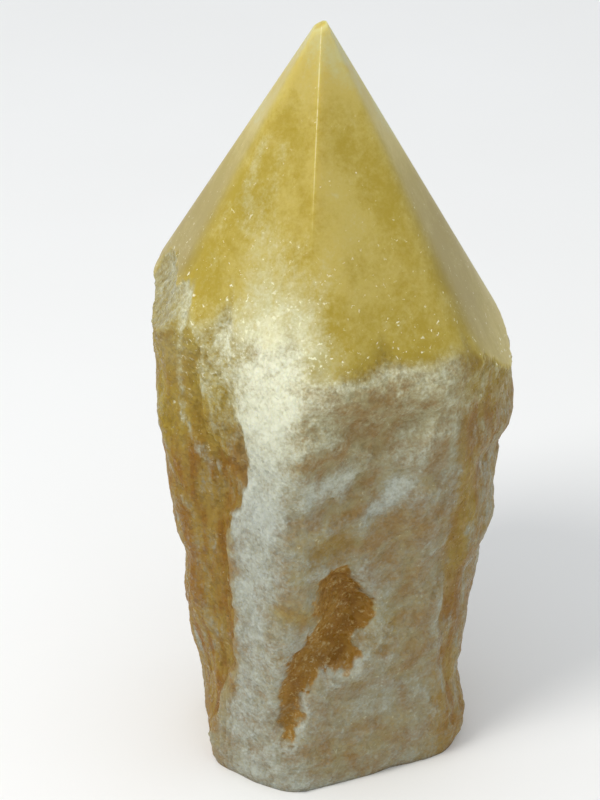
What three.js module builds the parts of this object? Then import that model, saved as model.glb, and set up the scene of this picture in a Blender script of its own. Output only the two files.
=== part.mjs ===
// A half-polished point of orange calcite: six polished faces meet at a tip, over a rough, broken
// block that is sawn flat underneath. It is one stone, so it is one solid.
// Millimetres, +Z up. The front is -Y. An azimuth is in degrees about the upright line through the
// tip: 0 at the front, and growing towards +X.
import * as THREE from "three";
import { ImprovedNoise } from "three/addons/math/ImprovedNoise.js";

const { clamp, degToRad, euclideanModulo, lerp, smoothstep } = THREE.MathUtils;

// Driving dimensions
const TIP_HEIGHT = 170; // where the six polished faces would meet
const TIP_LOSS = 2.2; // how much lower the worn tip is
const TIP_CHIP = { rise_x: 0.55, rise_y: 0.2 }; // slopes of the little chip that ends the tip
const TIP_PLACE = { x: -2.8, y: -0.37 }; // puts the middle of the whole stone over the origin
const FACET_COLUMNS = 16; // mesh columns on each polished face
const POLISHED_ROWS = 3;
const ROUGH_ROWS = 44;
const POLISH_SEARCH = { from: 140, step: 0.1 }; // heights tried for the end of the polish

// The six edges between the polished faces: where each points, and how far it runs out per mm down
const POLISHED_EDGES = [
  { azimuth: -125.2, run: 0.664 },
  { azimuth: -65.2, run: 0.593 },
  { azimuth: -5.2, run: 0.6 },
  { azimuth: 54.8, run: 0.584 },
  { azimuth: 114.8, run: 0.578 },
  { azimuth: 174.8, run: 0.6 },
];

// The broken faces of the block: which way each looks, and how far it is from the upright line
// through the tip at each height in LEVELS
const LEVELS = [0, 30, 60, 85, 112];
const BROKEN_FACES = [
  { name: "front right", azimuth: 22, reach: [24.0, 26.0, 28.8, 31.4, 33.8] },
  { name: "white ridge", azimuth: -34, reach: [27.6, 29.2, 31.2, 32.2, 32.6] },
  { name: "left", azimuth: -88, reach: [24.6, 27.9, 30.9, 33.3, 35.6] },
  { name: "back left", azimuth: -138, reach: [25.5, 28.6, 32.6, 35.6, 37.0] },
  { name: "back", azimuth: 176, reach: [25.0, 28.4, 32.2, 35.2, 36.4] },
  { name: "back right", azimuth: 130, reach: [28.0, 30.4, 34.6, 37.6, 37.8] },
  { name: "right", azimuth: 90, reach: [30.8, 32.6, 37.8, 40.4, 38.6] },
  { name: "right front", azimuth: 64, reach: [31.6, 32.2, 34.6, 37.2, 38.0] },
];
const CORNER_SHARPNESS = 18; // the power of the blend between the faces
const WORN_RIM = { height: 3.5, depth: 0.9 }; // the broken rim round the sawn underside

// Steps that run up the block. Past the line, on the side that drops, the surface is lower, and it
// comes back within the fade. The line is a list of [azimuth, height], from the top down.
const STEPS = [
  {
    name: "left side of the white ridge",
    drops: -1,
    depth: 2.6,
    fade: 20,
    line: [
      [-36, 104], [-31, 92], [-28, 83], [-31, 75], [-41, 65], [-40, 57],
      [-38, 44], [-40, 31], [-47, 22], [-54, 12],
    ],
  },
  {
    name: "left shoulder rib",
    drops: -1,
    depth: 1.6,
    fade: 24,
    line: [[-60, 110], [-52, 97], [-46, 87], [-42, 80], [-42, 70]],
  },
  {
    name: "right edge of the front face",
    drops: 1,
    depth: 1.5,
    fade: 14,
    line: [
      [55, 103], [51, 92], [46, 84], [47, 77], [51, 69], [51, 60],
      [55, 48], [54, 37], [58, 26], [60, 16],
    ],
  },
  {
    name: "back rib",
    drops: 1,
    depth: 2.4,
    fade: 30,
    line: [[150, 100], [158, 84], [149, 66], [156, 48], [150, 26], [160, 8]],
  },
  {
    name: "back left rib",
    drops: -1,
    depth: 1.8,
    fade: 24,
    line: [[-150, 96], [-158, 78], [-150, 55], [-160, 36]],
  },
];

// Ledges that run round the block. Under the line the surface is lower, and it comes back downwards.
// The line is a list of [azimuth, height], with growing azimuths.
const LEDGES = [
  { name: "back shelf", depth: 1.8, fade: 26, line: [[120, 78], [150, 70], [185, 74], [215, 64]] },
  { name: "low back shelf", depth: 1.4, fade: 20, line: [[100, 38], [135, 44], [170, 33], [200, 38]] },
  { name: "right lump", depth: 1.6, fade: 12, line: [[66, 78], [84, 75.5], [108, 79]] },
  { name: "right shelf", depth: 0.8, fade: 16, line: [[64, 52], [88, 51], [118, 56]] },
  { name: "front upper fold", depth: 1.0, fade: 9, line: [[-6, 84], [8, 88], [26, 90], [38, 96]] },
  { name: "front lower fold", depth: 1.1, fade: 10, line: [[-10, 76], [6, 79], [16, 83], [34, 80]] },
  { name: "left shelf", depth: 1.0, fade: 15, line: [[-112, 54], [-85, 49], [-60, 56]] },
];

// Round dents and lumps: size is the half width and the half height, and a lump's depth is negative
const DENTS = [
  { name: "left shoulder chip", azimuth: -78, height: 119, size: [17, 7], depth: 4.6 },
  { name: "left shoulder notch", azimuth: -104, height: 104, size: [7, 4], depth: 1.4 },
  { name: "white ridge top", azimuth: -9, height: 116, size: [8, 9], depth: 2.2 },
  { name: "lump by the right silhouette", azimuth: 92, height: 79, size: [9, 5], depth: -0.7 },
  { name: "right side lump", azimuth: 84, height: 55, size: [12, 7], depth: -1.2 },
  { name: "hollow under the brow", azimuth: 24, height: 93, size: [14, 5], depth: 0.9 },
  { name: "right amber pit", azimuth: 66, height: 86, size: [5, 5], depth: 1.2 },
  { name: "plate right of the scar", azimuth: 26, height: 33, size: [10, 9], depth: -1.1 },
  { name: "low plate", azimuth: 8, height: 14, size: [12, 10], depth: -0.9 },
  { name: "right foot lump", azimuth: 82, height: 4, size: [10, 6], depth: -0.9 },
  { name: "right foot hollow", azimuth: 84, height: 16, size: [10, 6], depth: 1.9 },
  { name: "left foot hollow", azimuth: -84, height: 14, size: [9, 6], depth: 0.9 },
  { name: "back hollow", azimuth: 178, height: 52, size: [11, 9], depth: 2.2 },
  { name: "back left scoop", azimuth: -132, height: 26, size: [12, 14], depth: 2.4 },
  { name: "back shoulder chip", azimuth: 150, height: 109, size: [11, 5], depth: 2.6 },
  { name: "right back scoop", azimuth: 118, height: 22, size: [11, 9], depth: 1.8 },
];

// The amber scar on the front, where a shell of pale stone has broken away. The radius, its distance
// from the upright line, turns its azimuths into mm.
const SCAR = {
  depth: 2.2,
  slope: 1.5,
  radius: 29,
  outline: [
    [1, 58], [10, 58.5], [18, 52], [24, 48], [20, 42], [14, 39], [17, 36], [13, 32], [1, 34],
    [-6, 28], [-9, 21], [-13, 14], [-18, 15], [-16, 27], [-11, 39], [-2, 43], [2, 47], [0, 52],
  ],
};

// The lumps of a broken surface: how far they stand out, and how wide they are
const LUMPS = [
  { height: 1.1, width: 17 },
  { height: 0.7, width: 6.5 },
];
const FLUTES = { height: 1.0, width: 5, length: 34, from: -130, to: -48, blend: 9 }; // on the left
const BROW = { bottom: 97, top: 105, calm: 0.7 }; // where the lumps die down below the polish
const DROP = { start: -0.4, end: 1.1, hold: 0.25 }; // shape of a step: mm past its line, share of its fade
const LINE_END = { outside: 3, inside: 5 }; // mm over which a step or ledge dies out at its ends
const DENT_SIDE = { inner: 0.35, outer: 1.25 }; // slope of a dent, in shares of its size

const noise = new ImprovedNoise();
const arc = (azimuth) => euclideanModulo(azimuth + 180, 360) - 180;

// Distance of the polished faces from the upright line, per mm below the tip
function polishedRun(azimuth) {
  for (let i = 0; i < POLISHED_EDGES.length; i++) {
    const here = POLISHED_EDGES[i];
    const next = POLISHED_EDGES[(i + 1) % POLISHED_EDGES.length];
    const span = euclideanModulo(next.azimuth - here.azimuth, 360);
    const past = euclideanModulo(azimuth - here.azimuth, 360);
    if (past > span) continue;
    const across = here.run * Math.sin(degToRad(past)) + next.run * Math.sin(degToRad(span - past));
    return (here.run * next.run * Math.sin(degToRad(span))) / across;
  }
  throw new Error("no polished face at azimuth " + azimuth);
}

// A smooth curve through the values given at LEVELS
function atHeight(values, z) {
  let i = 0;
  while (i < LEVELS.length - 2 && z > LEVELS[i + 1]) i++;
  const slope = (j) => {
    const [a, b] = [Math.max(0, j - 1), Math.min(LEVELS.length - 1, j + 1)];
    return (values[b] - values[a]) / (LEVELS[b] - LEVELS[a]);
  };
  const length = LEVELS[i + 1] - LEVELS[i];
  const t = (z - LEVELS[i]) / length;
  if (t > 1) return values[i + 1] + slope(i + 1) * (z - LEVELS[i + 1]);
  const [t2, t3] = [t * t, t * t * t];
  return (
    (2 * t3 - 3 * t2 + 1) * values[i] +
    (t3 - 2 * t2 + t) * length * slope(i) +
    (3 * t2 - 2 * t3) * values[i + 1] +
    (t3 - t2) * length * slope(i + 1)
  );
}

// Distance of the broken faces from the upright line, with their corners rounded into each other
function blockRadius(azimuth, z) {
  let sum = 0;
  for (const face of BROKEN_FACES) {
    const facing = Math.cos(degToRad(azimuth - face.azimuth));
    if (facing > 0) sum += Math.pow(atHeight(face.reach, z) / facing, -CORNER_SHARPNESS);
  }
  return Math.pow(sum, -1 / CORNER_SHARPNESS);
}

// Where a line of [x, y] points is at x, and how far x is inside its two ends. Its x must grow.
function alongLine(line, x) {
  let i = 0;
  while (i < line.length - 2 && x > line[i + 1][0]) i++;
  const [[x0, y0], [x1, y1]] = [line[i], line[i + 1]];
  const inside = Math.min(x - line[0][0], line[line.length - 1][0] - x);
  return { y: lerp(y0, y1, clamp((x - x0) / (x1 - x0), 0, 1)), inside };
}

// How much a drop lowers the surface, past its line: steep at the line, slow to come back
function dropProfile(past, fade) {
  return smoothstep(past, DROP.start, DROP.end) * (1 - smoothstep(past, fade * DROP.hold, fade));
}

function stepDepth(step, azimuth, z, radius) {
  const upwards = step.line.map(([a, height]) => [height, a]).reverse();
  const { y: edge, inside } = alongLine(upwards, z);
  const past = step.drops * degToRad(arc(azimuth - edge)) * radius;
  const ends = smoothstep(inside, -LINE_END.outside, LINE_END.inside);
  return step.depth * dropProfile(past, step.fade) * ends;
}

function ledgeDepth(ledge, azimuth, z, radius) {
  const middle = (ledge.line[0][0] + ledge.line[ledge.line.length - 1][0]) / 2;
  const { y: edge, inside } = alongLine(ledge.line, middle + arc(azimuth - middle));
  const ends = smoothstep(degToRad(inside) * radius, -LINE_END.outside, LINE_END.inside);
  return ledge.depth * dropProfile(edge - z, ledge.fade) * ends;
}

function dentDepth(dent, azimuth, z, radius) {
  const across = (degToRad(arc(azimuth - dent.azimuth)) * radius) / dent.size[0];
  const up = (z - dent.height) / dent.size[1];
  return dent.depth * (1 - smoothstep(Math.hypot(across, up), DENT_SIDE.inner, DENT_SIDE.outer));
}

// Depth of the scar: full well inside its outline, and nothing outside
function scarDepth(azimuth, z) {
  const flat = ([a, height]) => [degToRad(a) * SCAR.radius, height];
  const [x, y] = flat([azimuth, z]);
  let nearest = Infinity;
  let within = false;
  SCAR.outline.forEach((corner, i) => {
    const [x0, y0] = flat(corner);
    const [x1, y1] = flat(SCAR.outline[(i + 1) % SCAR.outline.length]);
    const along = (x - x0) * (x1 - x0) + (y - y0) * (y1 - y0);
    const t = clamp(along / ((x1 - x0) ** 2 + (y1 - y0) ** 2), 0, 1);
    nearest = Math.min(nearest, Math.hypot(x - lerp(x0, x1, t), y - lerp(y0, y1, t)));
    if (y0 > y !== y1 > y && x < x0 + ((y - y0) / (y1 - y0)) * (x1 - x0)) within = !within;
  });
  return SCAR.depth * smoothstep(within ? nearest : -nearest, -SCAR.slope / 2, SCAR.slope);
}

// Lumps all round, and upright flutes down the left side
function lumpHeight(azimuth, z, radius) {
  const x = radius * Math.sin(degToRad(azimuth));
  const y = -radius * Math.cos(degToRad(azimuth));
  let height = 0;
  LUMPS.forEach((lump, i) => {
    const layer = 40 * i; // keeps the two sizes from lining up
    height += lump.height * noise.noise(x / lump.width, y / lump.width, z / lump.width + layer);
  });
  const { from, to, blend } = FLUTES;
  const past = (line) => smoothstep(azimuth, line - blend, line + blend);
  const left = past(from) * (1 - past(to));
  const around = (degToRad(azimuth) * radius) / FLUTES.width;
  height += FLUTES.height * left * noise.noise(around, 0.5, z / FLUTES.length);
  return height * (1 - BROW.calm * smoothstep(z, BROW.bottom, BROW.top));
}

function roughRadius(azimuth, z) {
  const radius = blockRadius(azimuth, z);
  let depth = scarDepth(azimuth, z);
  for (const step of STEPS) depth += stepDepth(step, azimuth, z, radius);
  for (const ledge of LEDGES) depth += ledgeDepth(ledge, azimuth, z, radius);
  for (const dent of DENTS) depth += dentDepth(dent, azimuth, z, radius);
  depth += WORN_RIM.depth * clamp(1 - z / WORN_RIM.height, 0, 1) ** 2;
  return radius + lumpHeight(azimuth, z, radius) - depth;
}

// Height at which the polish gives way to the broken surface, found coming down from the tip
function polishEnd(azimuth) {
  const run = polishedRun(azimuth);
  let z = POLISH_SEARCH.from;
  while (roughRadius(azimuth, z) > run * (TIP_HEIGHT - z)) z -= POLISH_SEARCH.step;
  return z;
}

// Azimuths of the mesh columns, which take in every polished edge
function columnAzimuths() {
  return POLISHED_EDGES.flatMap((edge, i) => {
    const next = POLISHED_EDGES[(i + 1) % POLISHED_EDGES.length];
    const span = euclideanModulo(next.azimuth - edge.azimuth, 360);
    return Array.from({ length: FACET_COLUMNS }, (_, k) => arc(edge.azimuth + (span * k) / FACET_COLUMNS));
  });
}

// One column of the surface, from the tip down to the sawn underside, as [radius, height] points
function columnProfile(azimuth) {
  const run = polishedRun(azimuth);
  const angle = degToRad(azimuth);
  const rise = TIP_CHIP.rise_x * Math.sin(angle) - TIP_CHIP.rise_y * Math.cos(angle);
  const start = TIP_HEIGHT - TIP_LOSS / (1 + run * rise);
  const end = polishEnd(azimuth);
  const polished = Array.from({ length: POLISHED_ROWS }, (_, row) => {
    const z = lerp(start, end, row / POLISHED_ROWS);
    return [run * (TIP_HEIGHT - z), z];
  });
  const rough = Array.from({ length: ROUGH_ROWS + 1 }, (_, row) => {
    const z = lerp(end, 0, row / ROUGH_ROWS);
    return [Math.min(run * (TIP_HEIGHT - z), roughRadius(azimuth, z)), z];
  });
  return [...polished, ...rough];
}

function stoneGeometry() {
  const azimuths = columnAzimuths();
  const positions = [];
  for (const azimuth of azimuths)
    for (const [radius, z] of columnProfile(azimuth))
      positions.push(radius * Math.sin(degToRad(azimuth)), -radius * Math.cos(degToRad(azimuth)), z);
  const rings = POLISHED_ROWS + ROUGH_ROWS + 1;
  const tip = azimuths.length * rings;
  const underside = tip + 1;
  positions.push(0, 0, TIP_HEIGHT - TIP_LOSS);
  positions.push(0, 0, 0);
  const index = [];
  azimuths.forEach((_, column) => {
    const here = column * rings;
    const next = ((column + 1) % azimuths.length) * rings;
    index.push(tip, here, next);
    for (let row = 0; row < rings - 1; row++) {
      index.push(here + row, here + row + 1, next + row + 1);
      index.push(here + row, next + row + 1, next + row);
    }
    index.push(underside, next + rings - 1, here + rings - 1);
  });
  const geometry = new THREE.BufferGeometry();
  geometry.setAttribute("position", new THREE.Float32BufferAttribute(positions, 3));
  geometry.setIndex(index);
  return geometry;
}

const stone = new THREE.Mesh(
  stoneGeometry().translate(TIP_PLACE.x, TIP_PLACE.y, 0),
  new THREE.MeshStandardMaterial({ color: 0xc9b25e, roughness: 0.45, metalness: 0 }),
);
stone.name = "calcite_point";
const group = new THREE.Group();
group.add(stone);
export default group;
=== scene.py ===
# A half-polished point of orange calcite on a plain pale floor. Metres, +Z up, the front is -Y.
# Its shape is the frame's solid, read off round the upright line through the tip, with the broken
# grain of the stone carved into everything below the polish.
import math

import bpy
import numpy as np
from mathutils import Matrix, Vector, noise
from mathutils.bvhtree import BVHTree


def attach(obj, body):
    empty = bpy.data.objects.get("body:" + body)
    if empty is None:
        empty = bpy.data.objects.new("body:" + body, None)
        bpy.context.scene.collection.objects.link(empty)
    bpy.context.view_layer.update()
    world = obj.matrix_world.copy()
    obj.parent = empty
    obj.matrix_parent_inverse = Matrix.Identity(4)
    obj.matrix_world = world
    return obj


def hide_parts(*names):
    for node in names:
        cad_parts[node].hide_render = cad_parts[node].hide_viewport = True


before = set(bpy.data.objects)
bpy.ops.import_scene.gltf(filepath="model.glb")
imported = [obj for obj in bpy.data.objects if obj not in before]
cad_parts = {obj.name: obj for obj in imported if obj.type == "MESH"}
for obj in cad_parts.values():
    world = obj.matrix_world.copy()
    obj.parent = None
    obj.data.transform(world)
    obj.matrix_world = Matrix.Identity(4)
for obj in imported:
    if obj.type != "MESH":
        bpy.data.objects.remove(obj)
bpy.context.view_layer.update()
MM = 0.001

# The camera, the lamp and the floor, in metres and degrees
CAMERA_PITCH = 31.0  # how far it looks down
CAMERA_DISTANCE = 0.628117
CAMERA_LENS = 135.0  # mm, on a sensor 36 mm wide
CAMERA_AIM = (-0.0042754, 0.0824183)  # to the side of the line through the tip, and above the floor
KEY_PLACE = (-0.3, -0.28, 0.66)
KEY_AIM = (0.0, 0.0, 0.12)
FLOOR_HALF = 4.0  # half the width of the floor

# The stone's layout, in mm and degrees. An azimuth is 0 at the front and grows towards +X.
SIDES = 6
SIDE_ANGLE = 360.0 / SIDES
TIP = (-2.8, -0.37)  # where the upright line through the tip stands
TOP = 170.0  # where the polished faces would meet
TIP_LOSS = 2.2  # how far below that the chipped tip ends
TIP_CHIP = (0.55, 0.2)  # rise of the chip's face along X and Y
FIRST_EDGE = -125.2  # azimuth of one edge between polished faces
FRONT_EDGE = FIRST_EDGE + 2 * SIDE_ANGLE
POLISH_PROBES = (132.0, 150.0)  # heights at which every side is polished
ROUGH_TOP = 124.0  # the broken surface stays below this
FRONT_RADIUS = 29.0  # of the front at the scar

# Stretches of the way round: azimuths where each sets in, is full, begins to fade and is gone
FRONT = (-40, -20, 40, 55)
FOLDED = (-32, -18, 40, 50)  # the part of the front where the solid's folds stand out more
BROW = (-14, -2, 56, 64)  # the right of the front, where the polish ends in a rounded brow
SHOULDER = (-76, -60, -14, -3)  # the left of the front, where polish and break run together
FLUTED = (-132, -112, -52, -40)  # the left side, whose chips are long and upright

# The mesh
FACE_COLUMNS = 56  # columns on each sixth of the way round, besides the three at its edge
EDGE_HALF = 0.45  # degrees from an edge to the columns beside it
ROUGH_STEP = 0.6  # mm between rows of the broken part
POLISHED_ROWS = 40  # rows above them

# The wear of the polished edges
EDGE_ROUNDING = 7.5  # degrees over which they are worn round
FRONT_ROUNDING = 5.0  # degrees more on the lower part of the front edge
FRONT_REACH = (8.0, 24.0)  # degrees beside the front edge over which its own wear gives way
KEEN_ABOVE = 148.0  # height above which the front edge is keen
KEEN_FADE = 24.0  # mm below that over which it rounds off

# The solid's broken surface, in mm
BREAK_DEPTH = 0.04  # the solid is broken where it lies deeper than this below the polish
BASE_GAP = 0.02  # how far above the base its outline is read
SMOOTHING = 1.1  # takes the solid's small faces away
FOLD_SIZE = 7.0  # folds narrower than this stand out more than in the solid
EMPHASIS = 0.6  # by this share of their height
FOLDS_START = (16, 36)  # heights over which that sets in
FLARE = 0.4  # how much it would widen per mm above the place where it ends at the polish
BROW_FLARE = 0.1  # the same at the brow

# How far in mm the polish and the break round into each other
SOFTNESS = 0.5
SHOULDER_SOFTNESS = 8.5  # more at the shoulder
BROW_SOFTNESS = 4.0  # more at the brow

# Noise for the relief. The sizes are those of its cells in mm.
SEED = 8  # of all the noise
SEED_OFFSET = Vector((31.7, 12.3, 57.1))  # where the stone lies in the noise
LUMP_SIZE = 8.0
CREASE_SIZE = 5.0
CHIP_SIZE = 3.6
GRAIN_SIZE = 1.5
BEND_SIZE = 5.0
FINE_SIZE = 1.4
FLUTE_STRETCH = 4.0  # how much longer than elsewhere the chips are where the stone is fluted
FLUTES_END = (98, 106)  # heights over which the flutes fade
TILT_SPREAD = 7.31  # sets the tilts of neighbouring chips apart
CREST_REACH = 5  # rows and columns of the blur that tells crests from hollows

# Height of the relief's layers in mm, and how much more it is on the front or at the brink of the polish
LUMPS, FRONT_LUMPS = 0.4, 0.2
CREASES = 0.5
CHIPS, BRINK_CHIPS = 0.13, 0.2
GRAIN, BRINK_GRAIN = 0.06, 0.2
RELIEF_RAISE = 0.12  # makes up for what the creases take away
BRINK = (0.5, 3.0)  # distance from the polish over which the brink gives way
WARP, FINE_WARP = 1.6, 0.7  # how far the outlines drawn on the stone are bent

# The amber scar, as in the solid: [azimuth, height] round its outline
SCAR = [
    (1, 58), (10, 58.5), (18, 52), (24, 48), (20, 42), (14, 39), (17, 36), (13, 32), (1, 34),
    (-6, 28), (-9, 21), (-13, 14), (-18, 15), (-16, 27), (-11, 39), (-2, 43), (2, 47), (0, 52),
]
SCAR_LEDGE = 0.7  # mm that its edge drops, besides the solid's own depth

# The left side of the white ridge, as in the solid: [azimuth, height] going up
RIDGE_SIDE = [
    (-54, 8), (-52, 14), (-47, 22), (-40, 31), (-38, 41), (-38, 48), (-39.5, 57), (-42, 62), (-41, 66),
    (-32, 74), (-30, 80), (-27.5, 83.5), (-30, 86), (-30.5, 93), (-36.5, 103), (-45, 110),
]
RIDGE_LEDGE = 0.8  # mm that the stone drops there, besides the solid's own step

# Grooves in the broken part: ([azimuth, height] points, half width in mm, depth in mm)
GROOVES = [
    ([(-57, 111), (-53, 106), (-53, 98), (-51, 88), (-45, 82), (-37, 80)], 1.1, 0.8),
    ([(-34, 78), (-31, 82), (-32, 88)], 1.2, 0.8),
    ([(46, 92), (44, 84), (49, 72), (50, 61), (54, 46)], 1.2, 0.5),
]
# Bites out of the polish: azimuth, height, half width and half height in mm, depth in mm
BITES = [
    (-86, 108.5, 18.0, 9.5, 2.6),
    (-65, 113.0, 5.5, 7.0, 1.5),
]
BESIDE_BITE = -2.0  # mm that stand for the depth of a bite where there is none
BITE_ROUGHNESS = 0.2  # share of the broken relief that a bite has

# The stone's colours where the lamp falls on it squarely, 0 to 255 in sRGB
LAMPLIGHT = 1.25  # brightness of a white surface there
PALETTE = {
    "deep honey": (187, 165, 61),
    "honey": (209, 190, 104),
    "pale honey": (210, 203, 144),
    "brown": (156, 125, 72),
    "pale brown": (167, 151, 104),
    "ochre": (148, 104, 28),
    "pale ochre": (163, 133, 57),
    "yellow": (160, 134, 40),
    "pale yellow": (176, 154, 62),
    "rust": (147, 102, 29),
    "pale rust": (167, 124, 48),
    "speckled rust": (191, 160, 99),
    "thin low film": (163, 166, 151),
    "thin high film": (211, 209, 166),
    "thick low film": (208, 212, 197),
    "thick high film": (250, 250, 219),
    # colour of the painted shade on the narrow side faces of the polish
    "side_face_shade": (110, 86, 0),
    # colour of the painted glints
    "painted glint": (254, 252, 218),
    # colour of the front edge's wear and painted highlight
    "worn edge and highlight": (236, 226, 180),
}
# What colour_masks says of the stone, for the material
MASKS = ("broken", "film", "ochre", "yellow", "scar", "milk", "honey", "crest_frost_and_hollow_shade", "edge", "side_face_shade")
BARE_FILM = 0.43  # film where nothing is painted
LEFT_FILM = 0.12  # the same left of the ridge
POLISH_ROUGHNESS = 0.34
BREAK_ROUGHNESS = 0.55
CRYSTAL_SIZE = 0.8  # mm across the little crystals of the break

# Strokes of paint: ([azimuth, height] points, half width in mm, level). Each is laid over those before it.
# White film on the front: at 0 the stone is clear, at 1 the film hides it
FILM = [
    ([(-4, 98), (-10, 80), (-13, 64), (-15, 40)], 9.0, 0.42),
    ([(42, 98), (40, 88), (42, 76), (46, 66)], 6.0, 0.4),
    ([(-16, 108), (-18, 101), (-20, 92)], 8.0, 0.9),
    ([(-19, 98), (-21, 86), (-25, 74), (-29, 62)], 6.5, 0.9),
    ([(-28, 66), (-30, 52), (-31, 38), (-34, 24)], 6.0, 0.76),
    ([(-32, 30), (-34, 14), (-27, 4), (-14, 3)], 8.0, 0.68),
    ([(-10, 46), (-14, 34), (-18, 20)], 4.0, 0.55),
    ([(-6, 96), (2, 94), (10, 90)], 2.2, 0.5),
    ([(-5, 79), (1, 81.5), (10, 81)], 2.6, 0.78),
    ([(24, 71), (28, 74), (32, 79)], 2.6, 0.82),
    ([(-46, 114), (-40, 112), (-34, 110)], 3.0, 0.56),
    ([(36, 98), (37, 90), (34, 84)], 3.0, 0.44),
    ([(-2, 91), (6, 89.5), (14, 89)], 1.2, 0.5),
    ([(2, 27), (12, 20), (22, 12)], 6.0, 0.42),
    ([(24, 32), (32, 22)], 4.0, 0.46),
    ([(12, 99), (20, 98), (26, 94)], 3.2, 0.16),
    ([(-4, 88), (6, 88)], 2.4, 0.2),
    ([(14, 92), (22, 88)], 3.0, 0.2),
    ([(4, 74), (14, 75), (18, 80)], 2.6, 0.16),
    ([(4, 66), (14, 64), (26, 64)], 3.6, 0.2),
    ([(30, 68), (40, 66)], 3.0, 0.2),
    ([(2, 10), (20, 9), (34, 12)], 5.0, 0.26),
    ([(26, 56), (34, 48), (36, 36)], 5.0, 0.44),
    ([(36, 60), (44, 46), (42, 30)], 4.0, 0.24),
    ([(-2, 110), (20, 109.5), (44, 109.5), (60, 109)], 2.0, 0.05),
    ([(36, 102), (46, 103), (53, 103)], 2.2, 0.56),
    ([(-6, 103.5), (3, 105.5), (19, 104.8), (30, 105), (50, 106.2)], 0.8, 0.64),
    ([(-12, 50), (-3, 49)], 3.0, 0.06),
    ([(50, 108), (54, 106), (57, 101)], 2.2, 0.72),
    ([(4, 34), (12, 33), (20, 36)], 1.5, 0.62),
    ([(-6, 27), (-9, 20), (-14, 12)], 1.0, 0.6),
]
# The same on the other sides, where the stone is clearer
VEINS = [
    ([(-106, 100), (-88, 99), (-72, 101)], 6.0, 0.0),
    ([(-104, 92), (-88, 90), (-74, 92)], 6.0, 0.0),
    ([(-104, 92), (-92, 84), (-84, 66), (-78, 48), (-74, 30)], 5.0, -0.12),
    ([(-70, 98), (-66, 86), (-58, 74), (-50, 66)], 3.6, -0.1),
    ([(-42, 64), (-42, 48), (-43, 34), (-50, 20)], 3.0, -0.25),
    ([(-72, 104), (-62, 100), (-54, 92)], 6.0, -0.2),
    ([(-84, 24), (-70, 18), (-60, 14)], 6.0, -0.1),
    ([(60, 104), (68, 100), (76, 98)], 5.0, 0.02),
    ([(66, 40), (70, 26), (72, 14)], 3.0, 0.35),
    ([(-112, 110), (-96, 112), (-80, 112), (-64, 115)], 4.2, 0.64),
    ([(-66, 119), (-61, 116), (-58, 111)], 2.2, 0.7),
    ([(-110, 106), (-88, 105), (-70, 107)], 2.6, 0.45),
    ([(-84, 88), (-74, 82), (-66, 74)], 1.4, 0.4),
    ([(-76, 66), (-70, 60)], 1.2, 0.55),
    ([(-84, 52), (-82, 44)], 0.9, 0.5),
    ([(-100, 76), (-98, 58), (-96, 44)], 2.2, 0.4),
    ([(-74, 30), (-72, 22)], 1.2, 0.5),
    ([(-59, 106), (-60, 97), (-57, 88), (-50, 78)], 0.9, 0.3),
    ([(-50, 108), (-47, 98), (-41, 88)], 2.0, 0.32),
    ([(-55, 109), (-53, 98), (-51, 88), (-45, 82)], 1.0, -0.35),
    ([(-35, 79), (-32, 82), (-32, 86)], 1.8, -0.3),
    ([(74, 100), (80, 84)], 4.5, 0.2),
    ([(80, 84), (76, 66), (84, 46), (86, 20)], 4.5, 0.36),
    ([(64, 96), (62, 84), (66, 76)], 2.5, 0.3),
    ([(67, 90), (70, 87)], 1.8, -0.4),
    ([(57, 88), (57, 80), (59, 72)], 1.6, -0.2),
    ([(61, 73), (63, 66), (64, 52), (62, 42)], 2.6, -0.3),
    ([(70, 56), (72, 44)], 2.0, 0.0),
    ([(64, 28), (68, 18)], 2.4, -0.1),
    ([(66, 60), (74, 50), (70, 40)], 2.0, 0.4),
    ([(47, 98), (46.5, 92), (44, 84), (49, 72)], 1.0, 0.6),
    ([(50, 61), (54, 46), (54.5, 34), (61, 18)], 1.0, 0.5),
    ([(120, 100), (150, 102), (172, 99)], 4.0, 0.85),
    ([(144, 90), (152, 72), (162, 54), (159, 34)], 5.5, 0.55),
    ([(-154, 97), (-147, 82), (-138, 68), (-133, 50)], 3.5, 0.6),
    ([(100, 62), (112, 50), (108, 36)], 4.0, 0.6),
    ([(-166, 62), (-158, 42), (-163, 22)], 7.0, -0.05),
    ([(-128, 84), (-122, 60), (-128, 34)], 5.0, -0.15),
    ([(126, 72), (134, 60), (128, 48)], 4.0, -0.1),
]
# Where the clear stone is yellow, as inside the polish
YELLOW = [
    ([(-60, 116), (-54, 104), (-46, 90)], 6.0, 0.55),
    ([(-44, 116), (-41, 108), (-39, 98)], 6.0, 0.95),
    ([(-104, 100), (-98, 84)], 7.0, 0.3),
    ([(-84, 104), (-76, 96), (-68, 88)], 6.0, 0.9),
    ([(60, 76), (63, 66), (64, 52)], 4.0, 0.3),
    ([(-112, 112), (-96, 112), (-80, 112), (-62, 115)], 7.0, 1.0),
    ([(-8, 110), (20, 110), (44, 110), (60, 108)], 3.5, 1.0),
    ([(62, 100), (74, 96), (96, 92)], 6.0, 0.6),
    ([(24, 44), (27, 40)], 3.5, 0.6),
    ([(-12, 49.5), (-5, 49)], 2.0, 0.25),
    ([(4, 66), (-4, 62)], 5.0, 0.4),
]
# Milk inside the polish
MILK = [
    ([(-57, 138), (-60, 128), (-55, 120)], 2.0, 0.2),
    ([(-40, 111), (-46, 107), (-54, 104)], 6.0, 0.45),
    ([(-25, 124), (-34, 131), (-46, 137)], 3.0, 0.32),
    ([(-58, 146), (-55, 138), (-47, 131)], 1.3, 0.45),
    ([(-38, 146), (-36, 138), (-30, 132)], 1.3, 0.3),
    ([(-10, 126), (-9, 118)], 5.0, 0.25),
    ([(-21, 110), (-24, 118), (-27, 126)], 6.0, 0.42),
    ([(-15, 116), (-10, 111), (-6, 107)], 7.0, 0.9),
    ([(-18, 102), (-20, 106), (-22, 109)], 8.0, 1.0),
    ([(6, 106.5), (30, 106), (48, 107.5)], 0.9, 0.35),
]
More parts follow.
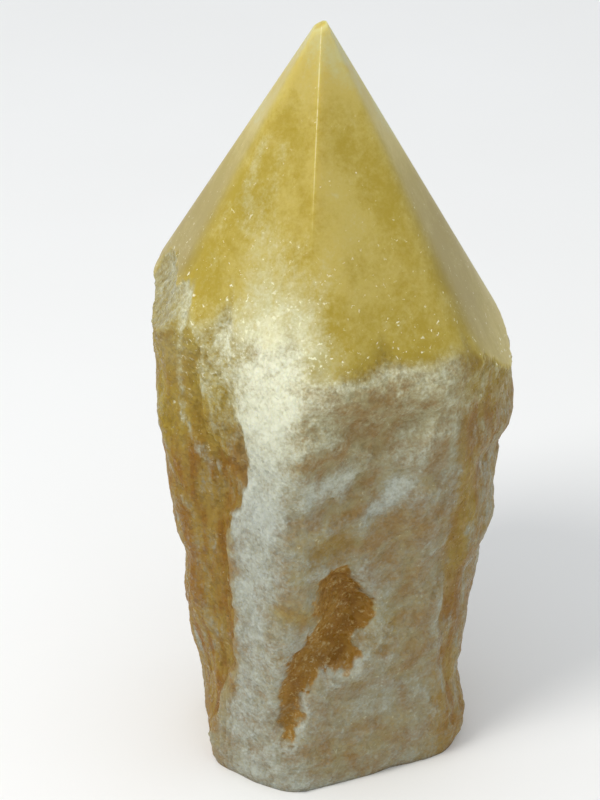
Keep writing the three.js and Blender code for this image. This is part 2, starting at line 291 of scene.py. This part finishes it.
# Honey that is lighter than the rest inside the polish, or deeper below 0. Some strokes are painted light
# and shade on the narrow side faces.
HONEY_AND_PAINTED_SHADING = [
    # painted shade: deepens the narrow face on the left, which faces the lamp
    ([(-96, 150), (-96, 130), (-92, 114)], 15.0, -0.6),
    ([(2, 134), (14, 124), (26, 116)], 8.0, 0.25),
    ([(52, 140), (51, 126), (48, 112)], 5.0, 0.1),
    # painted shade: deepens the narrow face on the right
    ([(74, 150), (76, 132), (74, 112)], 15.0, -0.5),
    ([(22, 126), (34, 118), (42, 112)], 7.0, -0.3),
    ([(0, 152), (10, 146)], 5.0, 0.25),
    ([(16, 162), (24, 150), (18, 138)], 8.0, 0.35),
    # painted light: lightens the narrow face on the right near the tip, which the lamp lights less
    ([(60, 160), (90, 150), (120, 150)], 9.0, 0.6),
    ([(-70, 160), (-90, 150), (-120, 150)], 9.0, 0.3),
    ([(-20, 168), (60, 168), (140, 168), (-140, 168)], 8.0, 0.8),
    ([(-44, 148), (-50, 145), (-60, 141)], 6.0, -0.4),
    ([(31, 150), (40, 142), (44, 134), (40, 128)], 7.0, -0.25),
    ([(-60, 126), (-56, 118), (-52, 114)], 6.0, -0.4),
    ([(8, 116), (20, 110), (34, 111)], 5.0, -0.4),
    ([(-35, 143), (-24, 139), (-16, 133)], 6.0, -0.25),
]


def column_azimuths():
    """Azimuths of the mesh columns: three at each edge, and the rest evenly between."""
    azimuths = []
    for side in range(SIDES):
        edge = FIRST_EDGE + SIDE_ANGLE * side
        azimuths += [edge, edge + EDGE_HALF]
        azimuths += list(np.linspace(edge, edge + SIDE_ANGLE, FACE_COLUMNS + 2)[1:-1])
        azimuths.append(edge + SIDE_ANGLE - EDGE_HALF)
    return np.array(azimuths)


AZIMUTHS = column_azimuths()
ANGLES = np.radians(AZIMUTHS)
OUTWARD = np.stack([np.sin(ANGLES), -np.cos(ANGLES)], 1)


def wrapped(degrees):
    """The same angle between -180 and 180."""
    return (degrees + 180.0) % 360.0 - 180.0


def smooth(x, low, high):
    """0 below low, 1 above high, and an S-shaped rise between."""
    share = np.clip((x - low) / (high - low), 0.0, 1.0)
    return share * share * (3.0 - 2.0 * share)


def band(x, low, full, fade, high):
    """0 below low and above high, 1 from full to fade, and S-shaped between."""
    return smooth(x, low, full) * (1 - smooth(x, fade, high))


def solid_radii(tree, heights):
    """Distance of the solid's surface from the upright line through the tip, in mm."""
    radii = np.zeros((len(heights), len(AZIMUTHS)))
    for row, height in enumerate(heights):
        start = Vector((TIP[0] * MM, TIP[1] * MM, height * MM))
        for column, (x, y) in enumerate(OUTWARD):
            radii[row, column] = tree.ray_cast(start, Vector((x, y, 0.0)))[3] / MM
    return radii


def blurred(grid, rows, columns):
    """The grid under a bell-shaped blur of that many rows and columns. Columns run all the way round."""
    def bell(sigma):
        reach = int(math.ceil(3 * sigma))
        weights = np.exp(-0.5 * (np.arange(-reach, reach + 1) / sigma) ** 2)
        return weights / weights.sum(), reach

    weights, reach = bell(columns)
    out = sum(weight * np.roll(grid, k - reach, 1) for k, weight in enumerate(weights))
    weights, reach = bell(rows)
    padded = np.pad(out, ((reach, reach), (0, 0)), mode="edge")
    return sum(weight * padded[k:k + len(grid)] for k, weight in enumerate(weights))


def segment_distance(x, y, start, end):
    """Distance from the points x, y to the straight line between start and end."""
    dx, dy = end[0] - start[0], end[1] - start[1]
    share = ((x - start[0]) * dx + (y - start[1]) * dy) / (dx * dx + dy * dy)
    share = np.clip(share, 0.0, 1.0)
    return np.hypot(x - start[0] - share * dx, y - start[1] - share * dy)


def painted(ground, strokes, azimuth, height, radius):
    """The ground with soft strokes painted over it, one after the other."""
    field = np.array(np.broadcast_to(ground, height.shape), float)
    for points, half_width, level in strokes:
        middle = points[len(points) // 2][0]

        def across(degrees):
            return np.radians(wrapped(degrees - middle)) * radius

        x = across(azimuth)
        nearest = np.full_like(height, np.inf)
        for (a0, z0), (a1, z1) in zip(points[:-1], points[1:]):
            distance = segment_distance(x, height, (across(a0), z0), (across(a1), z1))
            nearest = np.minimum(nearest, distance)
        field += (level - field) * (1.0 - smooth(nearest, 0.1 * half_width, 1.9 * half_width))
    return field


def inside_distance(outline, azimuth, height, radius):
    """Distance to the outline in mm: positive inside it, negative outside."""
    x, y = np.radians(azimuth) * radius, height
    nearest = np.full_like(height, np.inf)
    within = np.zeros(height.shape, bool)
    for (a0, y0), (a1, y1) in zip(outline, outline[1:] + outline[:1]):
        x0, x1 = math.radians(a0) * radius, math.radians(a1) * radius
        nearest = np.minimum(nearest, segment_distance(x, y, (x0, y0), (x1, y1)))
        if y0 != y1:
            within ^= ((y0 > y) != (y1 > y)) & (x < x0 + (y - y0) / (y1 - y0) * (x1 - x0))
    return np.where(within, nearest, -nearest)


def chipped(point, cell):
    """Height of a surface broken into small flat chips, each tilted its own way, from about -1 to 1."""
    _, places = noise.voronoi(point / cell)
    centre = places[0]
    tilt = noise.cell_vector(centre * TILT_SPREAD)
    offset = point / cell - centre
    return offset.dot(tilt) * 1.6 + 0.5 * (tilt.x + tilt.y)


def ridge_side_distance(azimuth, height, radius):
    """Distance in mm past the left side of the white ridge, positive on the left face."""
    heights = [point[1] for point in RIDGE_SIDE]
    line = np.interp(height, heights, [point[0] for point in RIDGE_SIDE])
    return np.radians(wrapped(line - azimuth)) * radius


def stone_noise(azimuth, height, radius):
    """Noise at every point: the relief's layers, and a warp that roughens the outlines drawn on it."""
    noise.seed_set(SEED)
    around = np.radians(azimuth)
    x, y = radius * np.sin(around), -radius * np.cos(around)
    stretch = 1.0 + FLUTE_STRETCH * (band(azimuth, *FLUTED) * (1 - smooth(height, *FLUTES_END)))
    names = ("lumps", "creases", "chips", "grain", "warp_x", "warp_z")
    layers = {name: np.zeros(height.size) for name in names}
    points = zip(x.ravel(), y.ravel(), height.ravel(), stretch.ravel())
    for i, (px, py, pz, longer) in enumerate(points):
        place = Vector((px, py, pz)) + SEED_OFFSET
        bend = noise.noise_vector(place / BEND_SIZE)
        fine = noise.noise_vector(place / FINE_SIZE)
        upright = Vector((place.x, place.y, place.z / longer))
        layers["lumps"][i] = noise.fractal(place / LUMP_SIZE, 0.9, 2.1, 3)
        layers["creases"][i] = abs(noise.noise((upright + 1.5 * bend) / CREASE_SIZE))
        layers["chips"][i] = chipped(upright + 1.2 * bend, CHIP_SIZE)
        layers["grain"][i] = chipped(place + 0.5 * fine, GRAIN_SIZE)
        layers["warp_x"][i] = WARP * bend.x + FINE_WARP * fine.x
        layers["warp_z"][i] = WARP * bend.z + FINE_WARP * fine.z
    return {name: layer.reshape(height.shape) for name, layer in layers.items()}


def carve(layers, azimuth, height, radius, polished, scar):
    """Relief of the broken surface in mm, outwards, for each point."""
    past = ridge_side_distance(azimuth, height, radius)
    front = band(azimuth, *FRONT)
    brink = 1.0 - smooth(np.abs(radius - polished), *BRINK)
    left_chip = smooth(height, 100, 106) * (1 - smooth(azimuth, -66, -58))
    relief = (LUMPS + FRONT_LUMPS * front) * layers["lumps"] - CREASES * layers["creases"] + RELIEF_RAISE
    relief += (CHIPS + BRINK_CHIPS * brink) * layers["chips"]
    relief += (GRAIN + BRINK_GRAIN * brink) * (1.0 - 0.6 * left_chip) * layers["grain"]
    relief -= RIDGE_LEDGE * (band(past, -0.5, 1.2, 4.0, 14.0) * (1 - smooth(height, 86, 100)))
    for points, half_width, depth in GROOVES:
        relief -= depth * painted(0.0, [(points, half_width, 1.0)], azimuth, height, radius)
    relief *= 1.0 - 0.65 * brink * band(azimuth, *BROW)
    relief *= 1.0 - 0.3 * smooth(scar, 0.5, 3.0)
    relief -= SCAR_LEDGE * smooth(scar, -0.3, 0.8)
    return relief * smooth(height, -0.5, 2.5)


def polished_radii(keen_run, heights):
    """Radii of the polished faces: the edges are worn round, but for the upper part of the front one."""
    spacing = np.mod(np.roll(AZIMUTHS, -1) - np.roll(AZIMUTHS, 1), 360.0) / 2.0

    def worn(degrees):
        away = wrapped(AZIMUTHS[None, :] - AZIMUTHS[:, None]) / degrees
        weights = np.exp(-0.5 * away ** 2) * spacing[None, :]
        return (weights @ keen_run) / weights.sum(1)

    beside = smooth(np.abs(wrapped(AZIMUTHS - FRONT_EDGE)), *FRONT_REACH)
    above = keen_run + (worn(EDGE_ROUNDING) - keen_run) * beside
    below = worn(EDGE_ROUNDING + FRONT_ROUNDING * (1.0 - beside)[:, None])
    share = smooth(heights, KEEN_ABOVE - KEEN_FADE, KEEN_ABOVE)
    return (below + (above - below) * share) * (TOP - heights)


def smoothed_solid(tree, keen_run, heights, polished):
    """Radii of the solid's broken part without its small faces, and flaring out where it has ended."""
    solid = solid_radii(tree, np.maximum(heights, BASE_GAP))
    broken = keen_run[None, :] * (TOP - heights[:, None]) - solid > BREAK_DEPTH
    last = len(heights) - 1 - np.argmax(broken[::-1], 0)
    ends = solid[last, np.arange(len(AZIMUTHS))]
    beyond = np.maximum(np.arange(len(heights))[:, None] - last[None, :], 0) * ROUGH_STEP
    flare = FLARE + (BROW_FLARE - FLARE) * band(wrapped(AZIMUTHS), *BROW)
    rough = np.where(beyond > 0, ends[None, :] + flare * beyond, solid)
    column_step = np.radians(360.0 / len(AZIMUTHS)) * FRONT_RADIUS
    rough = blurred(rough, SMOOTHING / ROUGH_STEP, SMOOTHING / column_step)
    body = np.minimum(rough, polished)
    folds = body - blurred(body, FOLD_SIZE / ROUGH_STEP, FOLD_SIZE / column_step)
    front = band(AZIMUTHS, *FOLDED) * smooth(heights[:, None], *FOLDS_START)
    return rough + EMPHASIS * front * folds


def soft_minimum(a, b, softness):
    """The lesser of a and b, with the corner between them rounded."""
    blend = np.maximum(softness - np.abs(a - b), 0.0) / softness
    return np.minimum(a, b) - blend * blend * softness / 4.0


def bitten(radius, polished, relief, azimuth, height):
    """The radius where the bites out of the polish are taken away too."""
    bites = np.full_like(height, BESIDE_BITE)
    for middle, level, half_width, half_height, depth in BITES:
        across = np.radians(wrapped(azimuth - middle)) * polished / half_width
        far = np.hypot(across, (height - level) / half_height)
        bites = np.maximum(bites, depth - (depth - BESIDE_BITE) * smooth(far, 0.3, 1.3))
    floor = polished - bites + BITE_ROUGHNESS * relief
    return np.minimum(radius, np.where(bites > BESIDE_BITE / 2, floor, polished))


def tip_rows(keen_run):
    """Heights of the rows above the broken part, up to the chipped tip."""
    chip = TIP_CHIP[0] * OUTWARD[:, 0] + TIP_CHIP[1] * OUTWARD[:, 1]
    tip_heights = TOP - TIP_LOSS / (1.0 + keen_run * chip)
    fractions = np.linspace(0.0, 1.0, POLISHED_ROWS + 1)[1:, None]
    return ROUGH_TOP + (tip_heights - ROUGH_TOP)[None, :] * fractions


def stone_grid():
    """Heights, radii and fields of the stone's surface, as rows of columns."""
    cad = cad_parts["calcite_point"].data
    tree = BVHTree.FromPolygons([v.co[:] for v in cad.vertices], [p.vertices[:] for p in cad.polygons])
    probes = solid_radii(tree, POLISH_PROBES)
    keen_run = (probes[0] - probes[1]) / (POLISH_PROBES[1] - POLISH_PROBES[0])
    heights = np.linspace(0.0, ROUGH_TOP, int(ROUGH_TOP / ROUGH_STEP) + 1)
    polished = polished_radii(keen_run, heights[:, None])
    rough = smoothed_solid(tree, keen_run, heights, polished)

    azimuth = np.broadcast_to(wrapped(AZIMUTHS)[None, :], rough.shape)
    height = np.broadcast_to(heights[:, None], rough.shape)
    layers = stone_noise(azimuth, height, rough)
    warped_azimuth = azimuth + np.degrees(layers["warp_x"] / rough)
    warped_height = height + layers["warp_z"]
    scar = inside_distance(SCAR, warped_azimuth, warped_height, FRONT_RADIUS)
    scar = scar + 0.6 * layers["chips"] + 0.4 * layers["grain"]
    relief = carve(layers, warped_azimuth, warped_height, rough, polished, scar)
    softness = SOFTNESS + SHOULDER_SOFTNESS * band(azimuth, *SHOULDER)
    softness = softness + BROW_SOFTNESS * band(azimuth, *BROW)
    low = soft_minimum(rough + relief, polished, softness)
    low = bitten(low, polished, relief, warped_azimuth, warped_height)
    lost = polished - low

    top_heights = tip_rows(keen_run)
    high = polished_radii(keen_run, top_heights)

    def to_top(grid):
        return np.concatenate([grid, np.zeros_like(high)])

    return {
        "height": np.concatenate([height, top_heights]),
        "radius": np.concatenate([low, high]),
        "broken": to_top(smooth(lost, 0.02, 0.25 + 0.1 * softness)),
        "crest_frost_and_hollow_shade": to_top(relief - blurred(relief, CREST_REACH, CREST_REACH)),
        "scar": to_top(smooth(scar, -2.0, 2.0) * (0.68 + 0.32 * smooth(height, 20, 36))),
        "warp_x": to_top(layers["warp_x"]),
        "warp_z": to_top(layers["warp_z"]),
    }


def colour_masks(grid):
    """What the stone is made of at each point, for the material."""
    radius = grid["radius"]
    azimuth = wrapped(AZIMUTHS)[None, :] + np.degrees(grid["warp_x"] / np.maximum(radius, 5.0))
    height = grid["height"] + grid["warp_z"]
    past = ridge_side_distance(azimuth, height, radius)
    blend = 8.0 * smooth(height, 66, 90)
    left = smooth(past, -0.4 - 0.4 * blend, 1.0 + blend) * (azimuth < -20) * smooth(azimuth, -150, -118)
    left *= 1.0 - smooth(height, 96, 106) * smooth(azimuth, -118, -108)
    right = smooth(np.abs(azimuth), 50, 60) * (azimuth > 0)
    back = smooth(np.abs(azimuth), 112, 136)
    film = BARE_FILM - 0.2 * right - 0.17 * smooth(-azimuth, 40, 50) * (1.0 - back)
    film = painted(film, FILM, azimuth, height, radius)
    film = painted(film + (LEFT_FILM - film) * left, VEINS, azimuth, height, radius)
    off_front = np.abs(azimuth - FRONT_EDGE)
    return {
        "broken": grid["broken"],
        "film": film,
        "ochre": np.maximum(np.maximum(left, 0.8 * right), 0.6 * back),
        "yellow": painted(0.0, YELLOW, azimuth, height, radius),
        "scar": grid["scar"],
        # painted shade: darkens and warms the narrow side faces of the polish, where the light falls on
        # them too brightly
        "side_face_shade": smooth(off_front, 54, 70) * band(height, 96, 112, 120, 148),
        "milk": painted(0.0, MILK, azimuth, height, radius),
        # honey, with the painted light and shade of the narrow side faces
        "honey": painted(0.0, HONEY_AND_PAINTED_SHADING, azimuth, height, radius),
        "crest_frost_and_hollow_shade": grid["crest_frost_and_hollow_shade"],
        "edge": np.radians(np.abs(wrapped(AZIMUTHS[None, :] - FRONT_EDGE))) * radius,
    }


def build_stone():
    """One closed mesh: rings of quads from the base to the tip, with a fan at either end."""
    grid = stone_grid()
    radius = grid["radius"]
    rows, columns = radius.shape
    places = np.zeros((rows, columns, 3))
    places[..., 0] = TIP[0] + radius * OUTWARD[None, :, 0]
    places[..., 1] = TIP[1] + radius * OUTWARD[None, :, 1]
    places[..., 2] = grid["height"]
    ends = [[TIP[0], TIP[1], TOP - TIP_LOSS], [TIP[0], TIP[1], 0.0]]
    points = np.concatenate([places.reshape(-1, 3), ends]) * MM
    index = np.arange(rows * columns).reshape(rows, columns)
    beside = np.roll(index, -1, 1)
    faces = np.stack([index[:-1], beside[:-1], beside[1:], index[1:]], -1).reshape(-1, 4).tolist()
    top, bottom = rows * columns, rows * columns + 1
    faces += [(a, b, top) for a, b in zip(index[-1].tolist(), beside[-1].tolist())]
    faces += [(b, a, bottom) for a, b in zip(index[0].tolist(), beside[0].tolist())]
    mesh = bpy.data.meshes.new("calcite_stone")
    mesh.from_pydata(points.tolist(), [], faces)
    mesh.validate()
    mesh.shade_smooth()
    for name, values in colour_masks(grid).items():
        attribute = mesh.attributes.new(name, "FLOAT", "POINT")
        attribute.data.foreach_set("value", np.concatenate([values.ravel(), [0.0, 0.0]]))
    stone = bpy.data.objects.new("calcite_stone", mesh)
    bpy.context.scene.collection.objects.link(stone)
    return stone


class Nodes:
    """Short calls for building a material's nodes. Most of them return the socket with their result."""

    def __init__(self, material):
        material.use_nodes = True
        self.tree = material.node_tree
        self.tree.nodes.clear()

    def add(self, kind, inputs=None, **settings):
        """A new node, whose inputs are values or the sockets that feed them."""
        node = self.tree.nodes.new(kind)
        for key, value in settings.items():
            setattr(node, key, value)
        for key, value in (inputs or {}).items():
            if isinstance(value, bpy.types.NodeSocket):
                self.tree.links.new(value, node.inputs[key])
            else:
                node.inputs[key].default_value = value
        return node

    def attribute(self, name):
        return self.add("ShaderNodeAttribute", attribute_name=name).outputs["Fac"]

    def math(self, operation, a, b):
        return self.add("ShaderNodeMath", {0: a, 1: b}, operation=operation).outputs[0]

    def vector(self, operation, a, b, result="Vector"):
        return self.add("ShaderNodeVectorMath", {0: a, 1: b}, operation=operation).outputs[result]

    def sum(self, first, *rest):
        for term in rest:
            first = self.math("ADD", first, term)
        return first

    def product(self, first, *rest):
        for factor in rest:
            first = self.math("MULTIPLY", first, factor)
        return first

    def swing(self, value, gain):
        """A noise from 0 to 1, made to swing about 0."""
        return self.product(self.math("SUBTRACT", value, 0.5), gain)

    def rise(self, value, low, high, to_low=0.0, to_high=1.0):
        inputs = {"Value": value, "From Min": low, "From Max": high, "To Min": to_low, "To Max": to_high}
        return self.add("ShaderNodeMapRange", inputs, interpolation_type="SMOOTHSTEP").outputs["Result"]

    def noise(self, size_mm, detail, roughness, distortion, vector):
        inputs = {"Vector": vector, "Scale": 1.0 / (size_mm * MM), "Detail": detail}
        inputs.update({"Roughness": roughness, "Distortion": distortion})
        return self.add("ShaderNodeTexNoise", inputs).outputs["Fac"]

    def mix(self, factor, a, b):
        """One colour turning into another. The node's colour sockets are inputs 6 and 7 and output 2."""
        return self.add("ShaderNodeMix", {"Factor": factor, 6: a, 7: b}, data_type="RGBA").outputs[2]

    def finish(self, **inputs):
        """The surface shader, whose inputs are named with _ for a space, and the output."""
        inputs = {name.replace("_", " "): value for name, value in inputs.items()}
        shader = self.add("ShaderNodeBsdfPrincipled", inputs)
        self.add("ShaderNodeOutputMaterial", {"Surface": shader.outputs["BSDF"]})


def colour(red, green, blue):
    """A colour given as 0 to 255 in sRGB, for a node socket."""
    def linear(value):
        value /= 255.0
        return value / 12.92 if value <= 0.04045 else ((value + 0.055) / 1.055) ** 2.4
    return (linear(red), linear(green), linear(blue), 1.0)


def seen(name):
    """The surface colour that shows as that one of the palette where the lamp falls on it squarely."""
    return tuple(value / LAMPLIGHT for value in colour(*PALETTE[name])[:3]) + (1.0,)


def stone_textures(n, place):
    """The noises that colour the stone, from 0 to 1. Fibres and streaks run upright, and silk aslant."""
    upright = n.vector("MULTIPLY", place, (1.0, 1.0, 0.3))
    slant = {"Vector": place, "Rotation": (0.0, 0.5, 0.0), "Scale": (1.0, 1.0, 2.2)}
    slanted = n.add("ShaderNodeMapping", slant, vector_type="TEXTURE").outputs[0]
    return {
        "blotches": n.noise(13, 3, 0.5, 0.5, place),
        "patches": n.noise(5.5, 4, 0.6, 0.5, place),
        "crumbs": n.noise(1.5, 4, 0.65, 0.0, place),
        "flecks": n.noise(0.9, 2, 0.6, 0.4, place),
        "grit": n.noise(0.6, 2, 0.6, 0.0, place),
        "fibres": n.noise(1.4, 4, 0.65, 0.3, upright),
        "streaks": n.noise(4, 4, 0.6, 0.3, upright),
        "silk": n.noise(1.3, 4, 0.65, 0.3, slanted),
    }


def stirred(n, value, texture, **gains):
    """The value made uneven by textures, each with its own gain."""
    return n.sum(value, *(n.swing(texture[name], gain) for name, gain in gains.items()))


def polished_colour(n, mask, texture):
    """Inside the polish: honey with lighter and deeper blotches, some of them painted light and shade on
    the narrow side faces.
    """
    tone = stirred(n, mask["honey"], texture, blotches=1.2, patches=1.1, crumbs=0.9, grit=0.6)
    honey = n.mix(n.rise(tone, -0.7, 0.25), seen("deep honey"), seen("honey"))
    return n.mix(n.rise(tone, 0.15, 1.0), honey, seen("pale honey"))


def clear_break_colour(n, mask, texture, rusty):
    """The broken stone where no film hides it: translucent brown, ochre, yellow or rust."""
    patchy = n.rise(texture["patches"], 0.35, 0.62)
    brown = n.mix(patchy, seen("brown"), seen("pale brown"))
    ochre = n.mix(n.rise(texture["streaks"], 0.38, 0.6), seen("ochre"), seen("pale ochre"))
    yellow = n.mix(n.rise(texture["patches"], 0.35, 0.6), seen("yellow"), seen("pale yellow"))
    rust = n.mix(patchy, seen("rust"), seen("pale rust"))
    speckled = n.rise(stirred(n, texture["crumbs"], texture, grit=0.6), 0.54, 0.7)
    rust = n.mix(speckled, rust, seen("speckled rust"))
    clear = n.mix(mask["ochre"], brown, ochre)
    clear = n.mix(mask["yellow"], clear, yellow)
    return n.mix(rusty, clear, rust)


def sugary_film(n, mask, texture, height, rusty):
    """The white sugary film: how far it covers the stone, and its colour."""
    patchy = n.swing(texture["patches"], 0.3)
    streaky = n.sum(n.swing(texture["fibres"], 1.6), n.swing(texture["streaks"], 0.8))
    along = n.product(streaky, mask["ochre"])
    across = n.product(n.swing(texture["silk"], 0.3), n.math("SUBTRACT", 1.0, mask["ochre"]))
    speckle = n.sum(n.swing(texture["crumbs"], 0.55), n.swing(texture["grit"], 0.75))
    # crests of the relief get more film and hollows less: partly frost on the crests, partly painted shade
    # in the hollows
    speckle = n.sum(speckle, n.product(mask["crest_frost_and_hollow_shade"], 0.45))
    cover = n.sum(mask["film"], patchy, speckle, along, across, n.product(rusty, -0.4))
    thickness = n.sum(speckle, across, patchy, mask["film"], n.product(mask["milk"], 0.25))
    # the film is greyer low down and whiter high up: partly its own change, partly painted shade where the
    # lamp's light falls off towards the foot
    high = n.rise(height, 70 * MM, 110 * MM)
    thin = n.mix(high, seen("thin low film"), seen("thin high film"))
    thick = n.mix(high, seen("thick low film"), seen("thick high film"))
    return n.rise(cover, 0.0, 1.0), n.mix(n.rise(thickness, 0.2, 1.35), thin, thick)


def painted_glints(n, mask, texture, height):
    """Painted glints: bright specks of painted highlight where little crystals catch the light, most of
    them low on the polish and where it turns white.
    """
    dense = n.rise(height, 150 * MM, 115 * MM, 0.0, 0.035)
    dense = n.sum(dense, n.product(mask["milk"], 0.06), n.product(mask["yellow"], 0.02))
    single = n.rise(n.sum(texture["flecks"], dense), 0.69, 0.77)
    gathered = n.rise(n.sum(texture["patches"], dense), 0.42, 0.6)
    bright = n.sum(n.rise(mask["broken"], 0.0, 1.0, 0.8, 0.3), n.product(mask["yellow"], 0.4))
    return n.product(single, gathered, bright)


def worn_edge_and_highlight(n, mask, texture, height):
    """The keen front edge near the tip, white in places: partly wear and partly a painted highlight along
    the edge.
    """
    thin = n.rise(mask["edge"], 0.03, 0.15, 1.0, 0.0)
    near_tip = n.rise(height, 128 * MM, 158 * MM, 0.0, 0.8)
    return n.product(thin, near_tip, n.rise(texture["crumbs"], 0.4, 0.55, 0.3, 1.0))


def crystal_grain(n, place, broken):
    """Little crystals that each face their own way: the bumps they make, and how rough they are."""
    cells = n.add("ShaderNodeTexVoronoi", {"Vector": place, "Scale": 1.0 / (CRYSTAL_SIZE * MM)})
    facing = n.vector("SUBTRACT", cells.outputs["Color"], (0.5, 0.5, 0.5))
    offset = n.vector("SUBTRACT", place, cells.outputs["Position"])
    facet = n.vector("DOT_PRODUCT", facing, offset, "Value")
    bump = n.add("ShaderNodeBump", {"Height": facet, "Strength": n.product(broken, 0.9), "Distance": 1.0})
    chance = n.add("ShaderNodeSeparateColor", {0: cells.outputs["Color"]}).outputs[0]
    matt = n.math("SUBTRACT", BREAK_ROUGHNESS, n.product(n.rise(chance, 0.8, 0.9), 0.3))
    matt = n.math("SUBTRACT", matt, POLISH_ROUGHNESS)
    return bump.outputs["Normal"], n.sum(n.product(broken, matt), POLISH_ROUGHNESS)


def stone_material():
    material = bpy.data.materials.new("calcite")
    n = Nodes(material)
    place = n.add("ShaderNodeNewGeometry").outputs["Position"]
    height = n.add("ShaderNodeSeparateXYZ", {0: place}).outputs["Z"]
    mask = {name: n.attribute(name) for name in MASKS}
    texture = stone_textures(n, place)
    broken = mask["broken"]

    rusty = stirred(n, mask["scar"], texture, crumbs=1.2, patches=1.2, grit=0.6)
    rusty = n.rise(rusty, 0.3, 0.7)
    cover, film = sugary_film(n, mask, texture, height, rusty)
    stone = n.mix(cover, clear_break_colour(n, mask, texture, rusty), film)
    haze = stirred(n, mask["milk"], texture, patches=0.7, crumbs=0.5, fibres=0.8, grit=0.5)
    haze = n.rise(haze, 0.05, 1.2, 0.0, 0.88)
    inside = n.mix(haze, polished_colour(n, mask, texture), film)
    shown = n.mix(broken, inside, stone)
    # painted shade over the narrow side faces of the polish
    shown = n.mix(n.product(mask["side_face_shade"], 0.3), shown, seen("side_face_shade"))
    # painted highlights: bright specks where little crystals catch the light
    shown = n.mix(painted_glints(n, mask, texture, height), shown, seen("painted glint"))
    # partly wear, partly a painted highlight along the keen front edge
    shown = n.mix(worn_edge_and_highlight(n, mask, texture, height), shown, seen("worn edge and highlight"))

    normal, roughness = crystal_grain(n, place, broken)
    n.finish(
        Base_Color=shown, Roughness=roughness, Normal=normal, IOR=1.55, Specular_IOR_Level=0.18,
        Subsurface_Weight=n.rise(broken, 0.0, 1.0, 1.0, 0.35),
        Subsurface_Radius=(1.0, 0.85, 0.5), Subsurface_Scale=6 * MM,
    )
    return material


def floor_material():
    material = bpy.data.materials.new("pale_floor")
    n = Nodes(material)
    place = n.add("ShaderNodeNewGeometry").outputs["Position"]
    unevenness = n.noise(120, 3, 0.5, 0.0, place)
    tone = n.mix(unevenness, colour(244, 243, 240), colour(250, 250, 248))
    n.finish(Base_Color=tone, Roughness=0.8)
    return material


def build_floor():
    half = FLOOR_HALF
    mesh = bpy.data.meshes.new("floor")
    corners = [(-half, -half, 0), (half, -half, 0), (half, half, 0), (-half, half, 0)]
    mesh.from_pydata(corners, [], [(0, 1, 2, 3)])
    floor = bpy.data.objects.new("floor", mesh)
    bpy.context.scene.collection.objects.link(floor)
    floor.data.materials.append(floor_material())
    return floor


def add_camera():
    pitch = math.radians(CAMERA_PITCH)
    aim = Vector((TIP[0] * MM + CAMERA_AIM[0], TIP[1] * MM, CAMERA_AIM[1]))
    camera = bpy.data.objects.new("camera", bpy.data.cameras.new("camera"))
    camera.data.lens = CAMERA_LENS
    camera.data.sensor_width = 36.0
    camera.data.clip_start = 0.01
    camera.location = aim + CAMERA_DISTANCE * Vector((0.0, -math.cos(pitch), math.sin(pitch)))
    camera.rotation_euler = (math.pi / 2 - pitch, 0.0, 0.0)
    bpy.context.scene.collection.objects.link(camera)
    bpy.context.scene.camera = camera


def add_lights():
    """A round lamp in front, high on the left, and even light from all round."""
    lamp = bpy.data.lights.new("key", "AREA")
    lamp.shape = "DISK"
    lamp.size = 0.22
    lamp.energy = 2.5
    lamp.color = (1.0, 0.98, 0.95)
    key = bpy.data.objects.new("key", lamp)
    key.location = KEY_PLACE
    key.rotation_euler = (Vector(KEY_AIM) - Vector(KEY_PLACE)).to_track_quat("-Z", "Y").to_euler()
    bpy.context.scene.collection.objects.link(key)
    world = bpy.data.worlds.new("studio")
    world.use_nodes = True
    background = world.node_tree.nodes["Background"]
    background.inputs["Color"].default_value = (0.93, 0.96, 1.0, 1.0)
    background.inputs["Strength"].default_value = 0.78
    bpy.context.scene.world = world
    bpy.context.scene.view_settings.view_transform = "Standard"


add_camera()
stone = build_stone()
stone.data.materials.append(stone_material())
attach(stone, "root")
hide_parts("calcite_point")
floor = build_floor()
add_lights()
